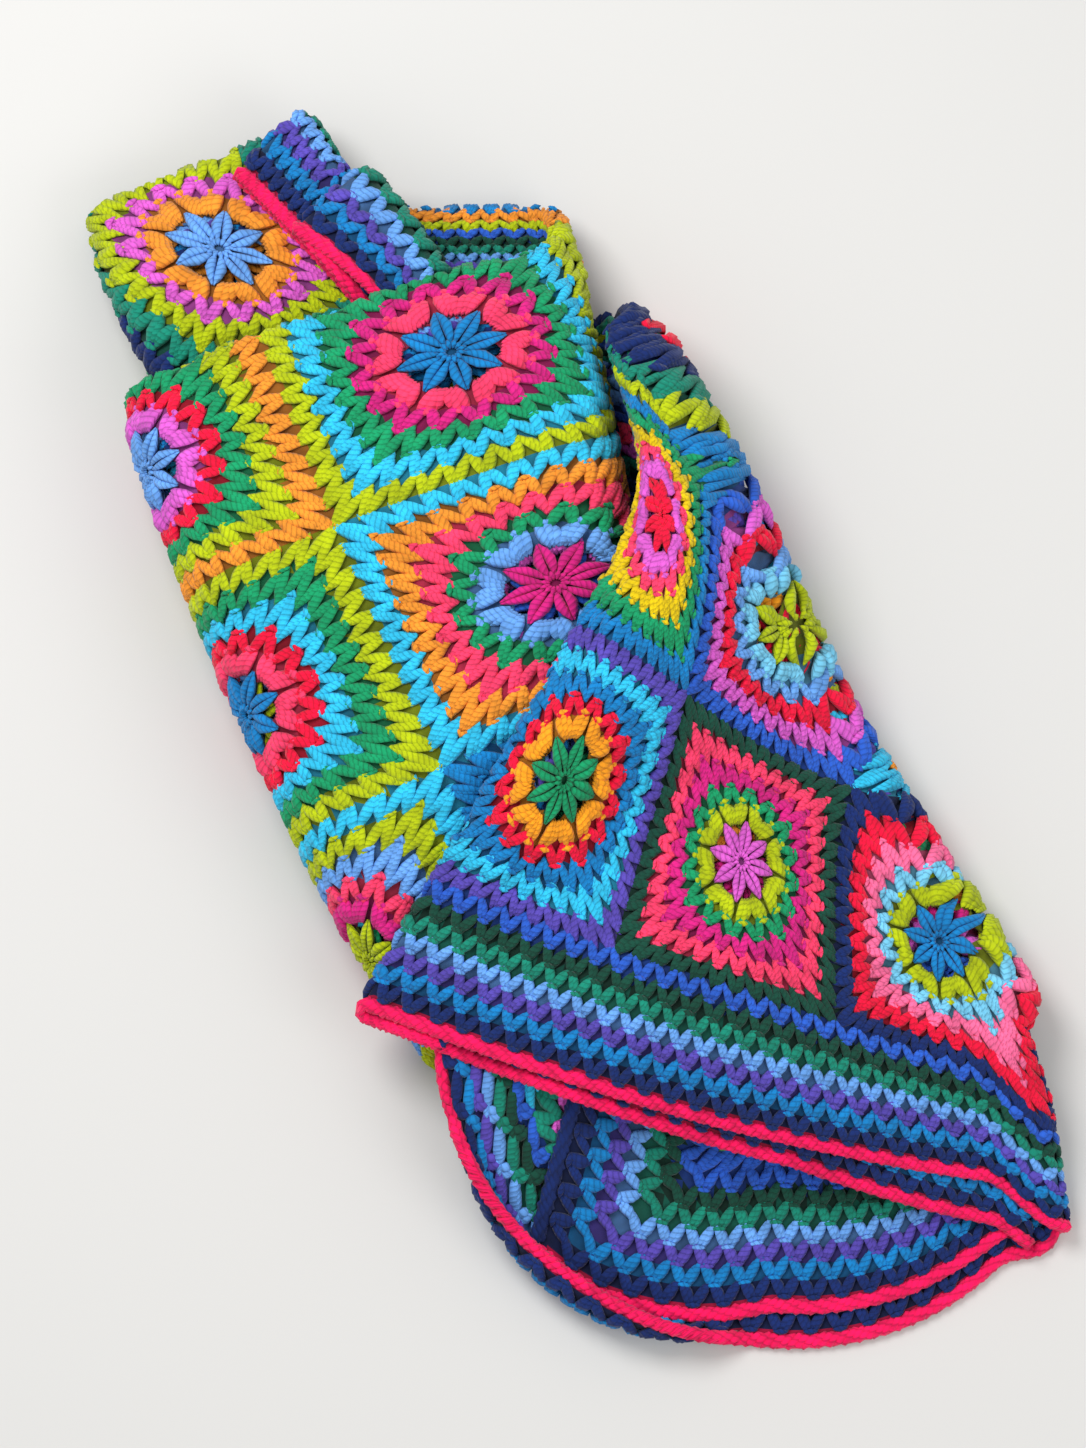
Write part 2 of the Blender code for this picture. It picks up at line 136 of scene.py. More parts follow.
def smooth(t):
    t = np.clip(t, 0.0, 1.0)
    return t * t * (3.0 - 2.0 * t)


def section_path():
    """The folded cross-section as fine points: u, s and height n over its middle.

    The last result is each run's start and end in u.
    """
    points, marks, cloth, count = [], [], [], 0
    for row, (_, start, end, low, high, gather) in enumerate(SECTION):
        s = np.linspace(start, end, 1 + int(abs(end - start) / 2.0))
        level = low + (high - low) * smooth((s - RISE[0]) / (RISE[1] - RISE[0]))
        points.append(np.stack([s, level * GAP], axis=1))
        marks.append((count, count + len(s) - 1))
        cloth += [gather] * len(s)
        count += len(s)
        if row + 1 < len(SECTION):
            radius = (SECTION[row + 1][3] - high) * GAP / 2.0
            turn = np.linspace(0.0, np.pi, 14)[1:-1]
            arc_s = end + np.sign(end - start) * abs(radius) * np.sin(turn)
            arc_n = high * GAP + radius * (1.0 - np.cos(turn))
            points.append(np.stack([arc_s, arc_n], axis=1))
            cloth += [1.0] * len(turn)
            count += len(turn)
    points = np.concatenate(points)
    steps = np.linalg.norm(np.diff(points, axis=0), axis=1) * cloth[1:]
    u = np.concatenate([[0.0], np.cumsum(steps)])
    return u, points[:, 0], points[:, 1], [(u[a], u[b]) for a, b in marks]


SECTION_U, SECTION_S, SECTION_N, SECTION_RUNS = section_path()


def across(values, s):
    """A quadratic through a line's near, middle and far values."""
    g = s / HALF
    near, mid, far = values
    return near * g * (g - 1) / 2 + mid * (1 - g * g) + far * g * (g + 1) / 2


def line_at(name, s):
    q, near, mid, far = LINES[name]
    x = across((near[0], mid[0], far[0]), s)
    y = across((near[1], mid[1], far[1]), s)
    return across(q, s), x, y


def outward(name, s, way):
    """The unit plan normal of a fold line, on the side that way points to."""
    _, x0, y0 = line_at(name, s - 1.0)
    _, x1, y1 = line_at(name, s + 1.0)
    nx, ny = y1 - y0, x0 - x1
    size = np.hypot(nx, ny) * np.sign(nx * way[0] + ny * way[1])
    return nx / size, ny / size


def pass_mask(name, x, y):
    """1 over a pass and near it, fading to 0 further out."""
    lines = next(row[1] for row in PASSES if row[0] == name)
    first, last = LINES[lines[0]], LINES[lines[-1]]
    corners = np.array([first[1], first[3], last[3], last[1]], float)
    middle = corners.mean(axis=0)
    mask = np.ones_like(x)
    for a, b in zip(corners, np.roll(corners, -1, axis=0)):
        nx, ny = b[1] - a[1], a[0] - b[0]
        size = np.hypot(nx, ny)
        if (middle[0] - a[0]) * nx + (middle[1] - a[1]) * ny > 0:
            size = -size
        out = ((x - a[0]) * nx + (y - a[1]) * ny) / size
        mask = mask * (1.0 - smooth((out - EDGE) / FADE))
    return mask


def ridge(row, x, y):
    _, _, x0, y0, x1, y1, height, width = row
    dx, dy = x1 - x0, y1 - y0
    t = np.clip(((x - x0) * dx + (y - y0) * dy) / (dx * dx + dy * dy), 0.0, 1.0)
    away = np.hypot(x - x0 - t * dx, y - y0 - t * dy)
    return height * np.exp(-((away / width) ** 2))


def passes_under(name):
    return next(row[3] for row in PASSES if row[0] == name)


def plain_height(name, x, y):
    """What a pass lies on, before the layers' own slope is allowed for."""
    under = passes_under(name)
    height = sum((STACK * pass_mask(other, x, y) for other in under), np.zeros_like(x))
    for row in RIDGES:
        if row[1] == name or row[1] in under:
            height = height + ridge(row, x, y)
    return height


def slope_stretch(name, x, y):
    """How much taller a pass's stack stands where it lies on a slope."""
    here = plain_height(name, x, y)
    dx = (plain_height(name, x + SLOPE_STEP, y) - here) / SLOPE_STEP
    dy = (plain_height(name, x, y + SLOPE_STEP) - here) / SLOPE_STEP
    return np.sqrt(1.0 + np.minimum(dx * dx + dy * dy, STEEPEST**2))


def base_height(name, x, y):
    """The height that a pass lies at, over the passes under it."""
    under = passes_under(name)
    height = np.full_like(x, THICK / 2)
    for other in under:
        height = height + STACK * pass_mask(other, x, y) * slope_stretch(other, x, y)
    for row in RIDGES:
        if row[1] == name or row[1] in under:
            height = height + ridge(row, x, y)
    return height


def lying_height(index, x, y, s, n):
    """The height of layer n in a pass, whichever way up the strip lies there."""
    name, _, back_up, _ = PASSES[index]
    base, stretch = base_height(name, x, y), slope_stretch(name, x, y)
    if back_up:
        return base + (1.5 * GAP - n) * stretch
    loose = 1.0 - smooth((s - SHOULDER[0]) / (SHOULDER[1] - SHOULDER[0]))
    return base + (n + 1.5 * GAP - 2.0 * GAP * loose) * stretch


def along(index, s, t):
    """Plan place in a pass, t from 0 at its first line to 1 at its last one."""
    places = np.array([line_at(name, s) for name in PASSES[index][1]])
    q, x, y = places[:, 0], places[:, 1], places[:, 2]
    if len(q) == 2:
        return x[0] + (x[1] - x[0]) * t, y[0] + (y[1] - y[0]) * t
    knots = (q - q[0]) / (q[-1] - q[0])
    return through(knots, x, t), through(knots, y, t)


def through(knots, values, t):
    """A smooth curve through values at knots, straight on beyond the last one."""
    steps = np.diff(values, axis=0) / np.diff(knots, axis=0)
    wide = (values[2:] - values[:-2]) / (knots[2:] - knots[:-2])
    slope = np.concatenate([steps[:1], wide, steps[-1:]])
    out = None
    for k, start in enumerate(knots[:-1]):
        span = knots[k + 1] - start
        w = (t - start) / span
        curve = (
            values[k] * (1 + 2 * w) * (1 - w) ** 2
            + slope[k] * span * w * (1 - w) ** 2
            + values[k + 1] * w * w * (3 - 2 * w)
            + slope[k + 1] * span * w * w * (w - 1)
        )
        out = curve if out is None else np.where(t >= start, curve, out)
    return np.where(t >= 1.0, values[-1] + slope[-1] * (t - 1.0), out)


def bow(s, span):
    middle, half = span
    return np.clip(1.0 - ((s - middle) / half) ** 2, 0.0, 1.0) ** ROUND


def slid_share(s, n):
    """How far a layer slides beside the upper one, from 0 to 1."""
    level = n / GAP
    outer = np.interp(level, *OUTER_SHARE) * bow(s, OUTER_BOW)
    inner = np.interp(level, *INNER_SHARE) * np.interp(s, *RETURNED) * bow(s, INNER_BOW)
    return outer + inner + np.interp(level, *UNDER_SHARE) * np.interp(s, *UNDER_RUN)


def rolled(q, s, n):
    """How far the lowest layer comes back, and rises, where its hem rolls up."""
    turn = LIP_TURN * bow(s, LIP_BOW) * np.interp(n / GAP, *OUTER_SHARE)
    run = np.maximum(q - LENGTH + LIP_RADIUS * turn, 0.0)
    angle = np.minimum(run / LIP_RADIUS, turn)
    beyond = run - LIP_RADIUS * angle
    back = run - LIP_RADIUS * np.sin(angle) - beyond * np.cos(angle)
    return back, LIP_RADIUS * (1.0 - np.cos(angle)) + beyond * np.sin(angle)


def slipped(q, s, n):
    """Where a layer's q lies along the strip, as the layers slide in the folds."""
    near = np.clip((q - MOUTH_START) / (LENGTH - MOUTH_START), 0.0, 2.0)
    corner = CORNER_SHARE * smooth((s - CORNER[0]) / (CORNER[1] - CORNER[0]))
    share = slid_share(s, n)
    mouth = MOUTH_RUN * (share + corner) + rolled(LENGTH, s, n)[0]
    tail = TAIL_RUN * np.minimum(share, np.interp(n / GAP, *TAIL_MOST))
    return q + mouth * near + tail * np.clip(1.0 - q / TAIL_END, 0.0, 1.0)


def mouth_lift(q, s, n):
    """How far the layers over a hem's mouth stand clear of the ones under it."""
    lower = np.interp(n / GAP, *LOWER_SHARE)
    near = smooth((q - MOUTH_LIFT_START) / (LENGTH - MOUTH_LIFT_START))
    far = smooth(1.0 - q / TAIL_END)
    open_here = bow(s, INNER_BOW) ** 1.5
    return open_here * (MOUTH_LIFT * near * (1.0 - lower) + TAIL_LIFT * far * lower)


def pass_span(index, s):
    """Where a pass's flat stretch starts and ends along the strip."""
    lines = PASSES[index][1]
    start, end = line_at(lines[0], s)[0], line_at(lines[-1], s)[0]
    if index > 0:
        start = start + TURNS[index - 1][1]
    if index < len(TURNS):
        end = end - TURNS[index][1]
    return start, end


def turned(index, s, n, t):
    """A point in the turn after a pass, t from 0 to 1 round it."""
    _, x0, y0 = line_at(PASSES[index][1][-1], s)
    _, x1, y1 = line_at(PASSES[index + 1][1][0], s)
    inside_x, inside_y = along(index, s, np.full_like(s, 0.9))
    nx, ny = outward(PASSES[index][1][-1], s, (x0 - inside_x, y0 - inside_y))
    z0 = lying_height(index, x0, y0, s, n)
    z1 = lying_height(index + 1, x1, y1, s, n)
    base0 = base_height(PASSES[index][0], x0, y0)
    base1 = base_height(PASSES[index + 1][0], x1, y1)
    core = np.maximum(abs(base1 - base0) - 3 * GAP, 1.0) / 2
    bulge = CORE_FLAT * core + SIDE_FLAT * (abs(z1 - z0) / 2 - core)
    angle = np.pi * np.clip(t, 0.0, 1.0)
    blend = (1.0 - np.cos(angle)) / 2
    x = x0 + (x1 - x0) * blend + nx * bulge * np.sin(angle)
    y = y0 + (y1 - y0) * blend + ny * bulge * np.sin(angle)
    return x, y, z0 + (z1 - z0) * blend


def folded(u, q):
    """The place in the bundle of points u, q of the flat blanket, in millimetres."""
    s = np.interp(u, SECTION_U, SECTION_S)
    n = np.interp(u, SECTION_U, SECTION_N)
    back, rise = rolled(q, s, n)
    t = slipped(q, s, n) - back
    place = np.zeros((3,) + s.shape)
    for index in range(len(PASSES)):
        start, end = pass_span(index, s)
        x, y = along(index, s, (t - start) / (end - start))
        z = lying_height(index, x, y, s, n)
        place = np.where((t >= start) | (index == 0), (x, y, z), place)
        if index < len(TURNS):
            turn = turned(index, s, n, (t - end) / (2 * TURNS[index][1]))
            place = np.where(t > end, turn, place)
    x, y, z = place
    z = z + mouth_lift(q, s, n) + rise
    return np.stack([x - CENTRE[0], y - CENTRE[1], z], axis=-1)


# ---------------------------------------------------------------- colours

YARN = {
    # name: sRGB of the yarn, 0 to 255
    "hot_pink": (255, 10, 95), "navy": (12, 40, 105), "cerulean": (8, 128, 198),
    "violet": (88, 72, 178), "cornflower": (105, 165, 238), "teal": (12, 135, 112),
    "dark_green": (8, 72, 56), "royal": (40, 95, 205), "cyan": (45, 195, 238),
    "lime": (182, 198, 0), "emerald": (10, 152, 98), "orange": (243, 150, 44),
    "golden": (255, 162, 26), "coral": (255, 62, 108), "magenta": (214, 26, 128),
    "orchid": (222, 94, 206), "red": (243, 6, 60), "yellow": (230, 198, 0),
    "sky": (120, 205, 240), "pink": (255, 110, 160),
}
# Squares with colours of their own: column, row, and each round's from the middle.
SQUARES = [
    (0, 0, ("cornflower", "orange", "orchid", "lime", "teal", "navy")),
    (0, 2, ("cerulean", "lime", "orange", "cerulean", "orange", "lime")),
    (4, 1, ("cerulean", "orange", "lime", "teal", "cyan", "lime")),
    (4, 2, ("cerulean", "orange", "lime", "teal", "cyan", "lime")),
    (4, 3, ("orange", "lime", "cyan", "teal", "cerulean", "lime")),
    (5, 1, ("orange", "cyan", "cerulean", "lime", "teal", "lime")),
    (5, 2, ("cerulean", "orange", "lime", "cyan", "teal", "lime")),
    (5, 3, ("cerulean", "orange", "lime", "cyan", "teal", "lime")),
    (0, 3, ("cerulean", "coral", "magenta", "emerald", "cyan", "lime")),
    (1, 3, ("magenta", "cornflower", "emerald", "coral", "orange", "cyan")),
    (2, 3, ("lime", "orchid", "coral", "emerald", "cerulean", "cerulean")),
    (0, 4, ("cornflower", "orchid", "red", "emerald", "lime", "orange")),
    (1, 4, ("cerulean", "coral", "red", "cyan", "emerald", "lime")),
    (2, 4, ("lime", "magenta", "coral", "cornflower", "lime", "cyan")),
    (0, 6, ("orange", "coral", "red", "navy", "teal", "lime")),
    (0, 7, ("red", "orchid", "coral", "yellow", "emerald", "cerulean")),
    (0, 8, ("emerald", "golden", "red", "cerulean", "cyan", "violet")),
    (1, 7, ("lime", "sky", "cornflower", "red", "orchid", "royal")),
    (1, 8, ("orchid", "lime", "emerald", "magenta", "coral", "dark_green")),
    (2, 8, ("cerulean", "lime", "sky", "pink", "red", "navy")),
]
# The other squares take these in turn.
MORE_SQUARES = [
    ("cyan", "lime", "teal", "cornflower", "violet", "navy"),
    ("orange", "cerulean", "cyan", "lime", "emerald", "royal"),
    ("magenta", "orange", "yellow", "emerald", "cyan", "cerulean"),
    ("lime", "cornflower", "royal", "coral", "orchid", "teal"),
    ("red", "golden", "lime", "cyan", "cerulean", "violet"),
    ("royal", "orchid", "magenta", "orange", "lime", "emerald"),
    ("emerald", "cyan", "orchid", "red", "orange", "cyan"),
]
COLUMNS, ROWS, BORDER = 9, 9, 100.0
# The border's rows from the blanket's edge inward: how far each reaches, and colour.
BORDER_ROWS = [
    (9.0, "hot_pink"), (22.0, "navy"), (35.0, "cerulean"), (48.0, "violet"),
    (61.0, "cornflower"), (74.0, "teal"), (87.0, "dark_green"), (100.0, "royal"),
]
# A square's rounds: outer radius, how square it is from 0 to 1, stitches in it.
ROUNDS = [(27.0, 0.0, 8), (47.0, 0.0, 8), (60.0, 0.35, 16), (73.0, 0.72, 28),
          (87.0, 0.92, 36), (100.0, 1.0, 44)]
SIDE_EDGING = "navy"                # the cord along the two sides
PITCH = 20.0                        # from one V stitch to the next in the border


def linear(name):
    value = np.array(YARN[name]) / 255.0
    return np.where(value <= 0.04045, value / 12.92, ((value + 0.055) / 1.055) ** 2.4)


def square_colours():
    table = {}
    for column in range(COLUMNS):
        for row in range(ROWS):
            table[column, row] = MORE_SQUARES[(3 * column + 5 * row) % len(MORE_SQUARES)]
    for column, row, names in SQUARES:
        table[column, row] = names
    return table


COLOURS = square_colours()


def reach(x, y, squareness):
    """How far out a round's outline of radius 1 lies in the direction of x, y."""
    size = np.maximum(np.hypot(x, y), TINY)
    return (1.0 - squareness) + squareness * size / np.maximum(np.maximum(abs(x), abs(y)), TINY)


def cloth_colour(u, q):
    """The colour of the blanket at flat points, as linear red, green and blue."""
    u, q = np.clip(u, 0.5, WIDTH - 0.5), np.clip(q, 0.5, LENGTH - 0.5)
    colour = np.zeros(u.shape + (3,))
    side, end = np.minimum(u, WIDTH - u), np.minimum(q, LENGTH - q)
    edge = np.minimum(side, end)
    done = np.zeros(u.shape, bool)
    for depth, name in BORDER_ROWS:
        here = (edge < depth) & ~done
        colour[here] = linear(name)
        done |= here
    colour[(side < BORDER_ROWS[0][0]) & (side < end)] = linear(SIDE_EDGING)
    column = np.clip(((u - BORDER) // SQUARE).astype(int), 0, COLUMNS - 1)
    row = np.clip(((q - BORDER) // SQUARE).astype(int), 0, ROWS - 1)
    x, y = u - BORDER - SQUARE * (column + 0.5), q - BORDER - SQUARE * (row + 0.5)
    away = np.hypot(x, y)
    palette = np.array([[[linear(name) for name in COLOURS[c, r]] for r in range(ROWS)]
                        for c in range(COLUMNS)])
    for k, (radius, squareness, _) in enumerate(ROUNDS):
        here = ~done & ((away < radius * reach(x, y, squareness)) | (k == len(ROUNDS) - 1))
        colour[here] = palette[column[here], row[here], k]
        done |= here
    return colour


# ---------------------------------------------------------------- places

NUDGE = 0.6                         # millimetres to each side, to find a normal
LOWEST = 0.9                        # no strand's middle lies lower over the floor


def placed(u, q, height):
    """Points over the cloth in 3-D millimetres, its normal, and its ways along u and q."""
    inside_u = np.clip(u, 1.0, WIDTH - 1.0)
    inside_q = np.clip(q, 1.0, LENGTH - 1.0)
    shape = inside_u.shape
    height = np.broadcast_to(height, shape)
    flat_u, flat_q = inside_u.ravel(), inside_q.ravel()
    point = folded(flat_u, flat_q)
    along_u = (folded(flat_u + NUDGE, flat_q) - folded(flat_u - NUDGE, flat_q)) / (2 * NUDGE)
    along_q = (folded(flat_u, flat_q + NUDGE) - folded(flat_u, flat_q - NUDGE)) / (2 * NUDGE)
    normal = np.cross(along_u, along_q)
    normal /= np.maximum(np.linalg.norm(normal, axis=1, keepdims=True), TINY)
    beyond_u, beyond_q = (u - inside_u).ravel()[:, None], (q - inside_q).ravel()[:, None]
    point = point + along_u * beyond_u + along_q * beyond_q
    point = point + normal * height.ravel()[:, None]
    point[:, 2] = np.maximum(point[:, 2], LOWEST)
    return tuple(part.reshape(shape + (3,)) for part in (point, normal, along_u, along_q))


# Where the cloth is looked at from, to find what is in sight: azimuth and elevation.
LOOKS = [(0, 90), (0, 83), (0, 70), (0, 45), (60, 45), (120, 45), (180, 45), (240, 45), (300, 45),
         (30, 20), (90, 20), (150, 20), (210, 20), (270, 20), (330, 20)]
GRID_STEP, CLEAR, GRAZING, GROW = 8.0, 3.0, 0.05, 1      # the grid's cell, and how rays start


def visible_faces(base):
    """Two masks over a grid of u and q: where the face, then the back, is in sight."""
    u = np.arange(GRID_STEP / 2, WIDTH, GRID_STEP)
    q = np.arange(GRID_STEP / 2, LENGTH, GRID_STEP)
    flat_u, flat_q = np.meshgrid(u, q, indexing="ij")
    point, normal, _, _ = placed(flat_u, flat_q, np.zeros_like(flat_u))
    corners = [corner.co for corner in base.data.vertices]
    tree = BVHTree.FromPolygons(corners, [face.vertices for face in base.data.polygons])
    masks = []
    for flip in (1, -1):
        seen = np.zeros(flat_u.shape, bool)
        starts = (point + normal * flip * CLEAR) * MM
        for azimuth, elevation in LOOKS:
            a, e = np.radians(azimuth), np.radians(elevation)
            eye = np.array([-np.sin(a) * np.cos(e), -np.cos(a) * np.cos(e), np.sin(e)])
            for i, j in np.argwhere(~seen & (normal @ eye * flip > GRAZING)):
                seen[i, j] = tree.ray_cast(starts[i, j], eye)[0] is None
        masks.append(grown(seen, GROW))
    return masks


def grown(mask, steps):
    """The mask, made wider by so many cells on every side."""
    for _ in range(steps):
        wide = mask.copy()
        wide[1:] |= mask[:-1]
        wide[:-1] |= mask[1:]
        wide[:, 1:] |= mask[:, :-1]
        wide[:, :-1] |= mask[:, 1:]
        mask = wide
    return mask


def seen_at(mask, u, q):
    i = np.clip((u / GRID_STEP).astype(int), 0, mask.shape[0] - 1)
    j = np.clip((q / GRID_STEP).astype(int), 0, mask.shape[1] - 1)
    return mask[i, j]


# ---------------------------------------------------------------- stitches

SIDES = 5                           # corners round a strand
FLATNESS, END_WIDTH, TIP = 0.85, 0.55, 0.7       # height, width at the ends, rounded end
PLY_START, PLY_RANGE = 7.3, 11.0    # where each strand's plies start along it
LIE = 1.9                           # strands' middles over the cloth's middle
WIDTH_RANGE = (0.75, 1.5)           # how much a strand's width follows the cloth


class Strands:
    """Strands of yarn on the flat cloth, gathered by how many points each has."""

    def __init__(self):
        self.groups = {}

    def add(self, u, q, height, width, colour):
        """Each of u, q, height and width is an array of strands by points."""
        u, q = np.atleast_2d(u), np.atleast_2d(q)
        height = np.broadcast_to(height, u.shape)
        width = np.broadcast_to(width, u.shape)
        colour = np.broadcast_to(colour, (len(u), 3))
        self.groups.setdefault(u.shape[1], []).append((u, q, height, width, colour))

    def gathered(self):
        """Each group's strands, as its u, q, height, width and colour."""
        for rows in self.groups.values():
            yield tuple(np.concatenate(column) for column in zip(*rows))


def round_point(turn, depth, inner, outer):
    """A square's local place: turn from 0 to 1 round it, depth 0 to 1 outward."""
    quarter = np.floor(turn * 4.0)
    way = (turn * 4.0 - quarter) * 2.0 - 1.0
    places = []
    for radius, squareness, _ in (inner, outer):
        angle = (1.0 - squareness) * way * np.pi / 4 + squareness * np.arctan(way)
        size = radius * ((1.0 - squareness) + squareness / np.cos(angle))
        angle = angle + quarter * np.pi / 2
        places.append((size * np.cos(angle), size * np.sin(angle)))
    (x0, y0), (x1, y1) = places
    return x0 + (x1 - x0) * depth, y0 + (y1 - y0) * depth


LEG_POINTS = np.linspace(0.0, 1.0, 4)
# Each leg strand of a V stitch: where it starts and ends, by share of the stitch.
V_STRANDS = [
    # start across, start outward, end across, end outward
    (-0.03, -0.36, -0.37, 0.92), (-0.18, -0.12, -0.50, 0.80),
    (0.03, -0.36, 0.37, 0.92), (0.18, -0.12, 0.50, 0.80),
]
V_WIDTH, V_LIFT = 3.05, 1.8
LAST_REACH = 1.16                   # the last round meets the next square's
# The bump that joins the tops of two stitches: across, outward, half width, height.
TOP_RUN, TOP_OUT, TOP_WIDTH, TOP_LIFT = np.array([0.32, 0.5, 0.68]), 0.9, 2.3, 2.2
# Each strand of a V stitch: across it, outward, up, and half as wide.
V_PATHS = [(a0 + (a1 - a0) * LEG_POINTS, d0 + (d1 - d0) * LEG_POINTS,
            LIE + V_LIFT * np.sin(np.pi * LEG_POINTS), V_WIDTH) for a0, d0, a1, d1 in V_STRANDS]
V_PATHS.append((TOP_RUN, np.full(3, TOP_OUT), LIE + TOP_LIFT, TOP_WIDTH))


def v_round(strands, u0, q0, level, colour):
    """One round of V stitches. The last has no bumps, so it meets the next square's."""
    inner, outer = ROUNDS[level - 1], ROUNDS[level]
    count = outer[2]
    turns = (np.arange(count) + 0.5) / count
    last = level == len(ROUNDS) - 1
    further = LAST_REACH if last else 1.0
    for share, depth, lift, width in V_PATHS[:-1] if last else V_PATHS:
        turn = (turns[:, None] + share / count) % 1.0
        depth = np.where(depth > 0, depth * further, depth)
        x, y = round_point(turn, depth[None, :], inner, outer)
        strands.add(u0 + x, q0 + y, lift, width, colour)


# The strands of each lobe of a puff: how far round they start and end, and how far out.
PUFF_STRANDS = [(0.03, 0.13, 44.5), (0.14, 0.27, 48.5), (0.25, 0.41, 47.0)]
POINTS, PUFF_START, PUFF_WIDTH, PUFF_LIFT = 8, 29.5, 3.3, 3.6    # points of each flower
PUFF_ARCH, PUFF_LOW, PUFF_SWELL = (0.12, 0.84), 0.6, (0.8, 0.35)     # its height and width
PUFF_TOP, PUFF_TOP_RUN, PUFF_TOP_WIDTH, PUFF_TOP_LIFT = 48.5, (0.16, 0.37), 2.5, 2.4


def ring_strands(strands, u0, q0, radius, turn, lift, width, colour):
    """Strands by their radius and turn, from 0 to 1 round a square's middle."""
    angle = 2 * np.pi * turn
    radius = np.broadcast_to(radius, angle.shape)
    strands.add(u0 + radius * np.cos(angle), q0 + radius * np.sin(angle), lift, width, colour)


def puffs(strands, u0, q0, colour):
    """Heart-shaped double puffs, each of two lobes, between the petals."""
    steps = np.linspace(0.0, 1.0, 5)
    middles = (np.arange(POINTS)[:, None] + 0.5) / POINTS
    for lobe in (-1, 1):
        for start, end, out in PUFF_STRANDS:
            turn = middles + lobe * (start + (end - start) * steps) / POINTS
            arch = np.sin(np.pi * (PUFF_ARCH[0] + PUFF_ARCH[1] * steps))
            lift = LIE + PUFF_LIFT * arch - PUFF_LOW
            width = PUFF_WIDTH * (PUFF_SWELL[0] + PUFF_SWELL[1] * np.sin(np.pi * steps))
            ring_strands(strands, u0, q0, PUFF_START + (out - PUFF_START) * steps, turn, lift,
                         width, colour)
        turn = middles + lobe * np.linspace(*PUFF_TOP_RUN, 3) / POINTS
        ring_strands(strands, u0, q0, PUFF_TOP, turn, LIE + PUFF_TOP_LIFT, PUFF_TOP_WIDTH,
                     colour)


# A petal's two strands, from the ring outward: how far out, aside, up, and half as wide.
PETAL = [(7.5, 1.8, 1.8, 2.0), (13.0, 2.9, 2.6, 2.8), (19.5, 3.4, 3.0, 3.5),
         (26.0, 2.2, 2.5, 2.6), (32.5, 0.7, 1.4, 1.3)]
BUMPS, BUMP_IN, BUMP_OUT, BUMP_WIDTH = 12, 3.6, 8.6, 1.9        # the ring in the middle
BUMP_LIFT = np.array([1.6, 3.4, 2.6])


def petals(strands, u0, q0, colour):
    """Pointed petals of two strands, and a ring of bumps round the middle."""
    out, aside, lift, width = np.array(PETAL).T
    angles = 2 * np.pi * np.arange(POINTS)[:, None] / POINTS
    for side in (-1, 1):
        x = out * np.cos(angles) - side * aside * np.sin(angles)
        y = out * np.sin(angles) + side * aside * np.cos(angles)
        strands.add(u0 + x, q0 + y, LIE + lift, width, colour)
    turn = np.arange(BUMPS)[:, None] / BUMPS + np.zeros(3)
    ring_strands(strands, u0, q0, np.linspace(BUMP_IN, BUMP_OUT, 3), turn,
                 LIE + BUMP_LIFT, BUMP_WIDTH, colour)


def square_stitches(strands, column, row):
    u0, q0 = SQUARE * (column + 1), SQUARE * (row + 1)
    names = COLOURS[column, row]
    petals(strands, u0, q0, linear(names[0]))
    puffs(strands, u0, q0, linear(names[1]))
    for level in range(2, len(ROUNDS)):
        v_round(strands, u0, q0, level, linear(names[level]))


def border_stitches(strands):
    """V stitches in the border's rows, on all four sides, points inward."""
    for side, length in (("near", WIDTH), ("far", WIDTH), ("left", LENGTH), ("right", LENGTH)):
        for k in range(1, len(BORDER_ROWS)):
            outer, (inner, name) = BORDER_ROWS[k - 1][0], BORDER_ROWS[k]
            count = int(round((length - 2 * outer) / PITCH))
            pitch = (length - 2 * outer) / count
            middles = outer + pitch * (np.arange(count) + 0.5)
            for share, depth, lift, width in V_PATHS:
                way = middles[:, None] + share * pitch
                edge = np.broadcast_to(inner + (outer - inner) * depth, way.shape)
                keep = (way[:, 1] > edge[:, 1]) & (way[:, 1] < length - edge[:, 1])
                way, edge = way[keep], edge[keep]
                u, q = {
                    "near": (way, LENGTH - edge), "far": (way, edge),
                    "left": (edge, way), "right": (WIDTH - edge, way),
                }[side]
                strands.add(u, q, lift, width, linear(name))


def side_stretch(u, q, along_u, along_q):
    """How much wider a strand lies where the cloth under it is drawn out sideways."""
    step_u, step_q = np.gradient(u, axis=1), np.gradient(q, axis=1)
    size = np.maximum(np.hypot(step_u, step_q), TINY)
    aside = along_u * (-step_q / size)[..., None] + along_q * (step_u / size)[..., None]
    stretch = np.linalg.norm(aside, axis=2).mean(axis=1, keepdims=True)
    return np.clip(stretch, *WIDTH_RANGE)


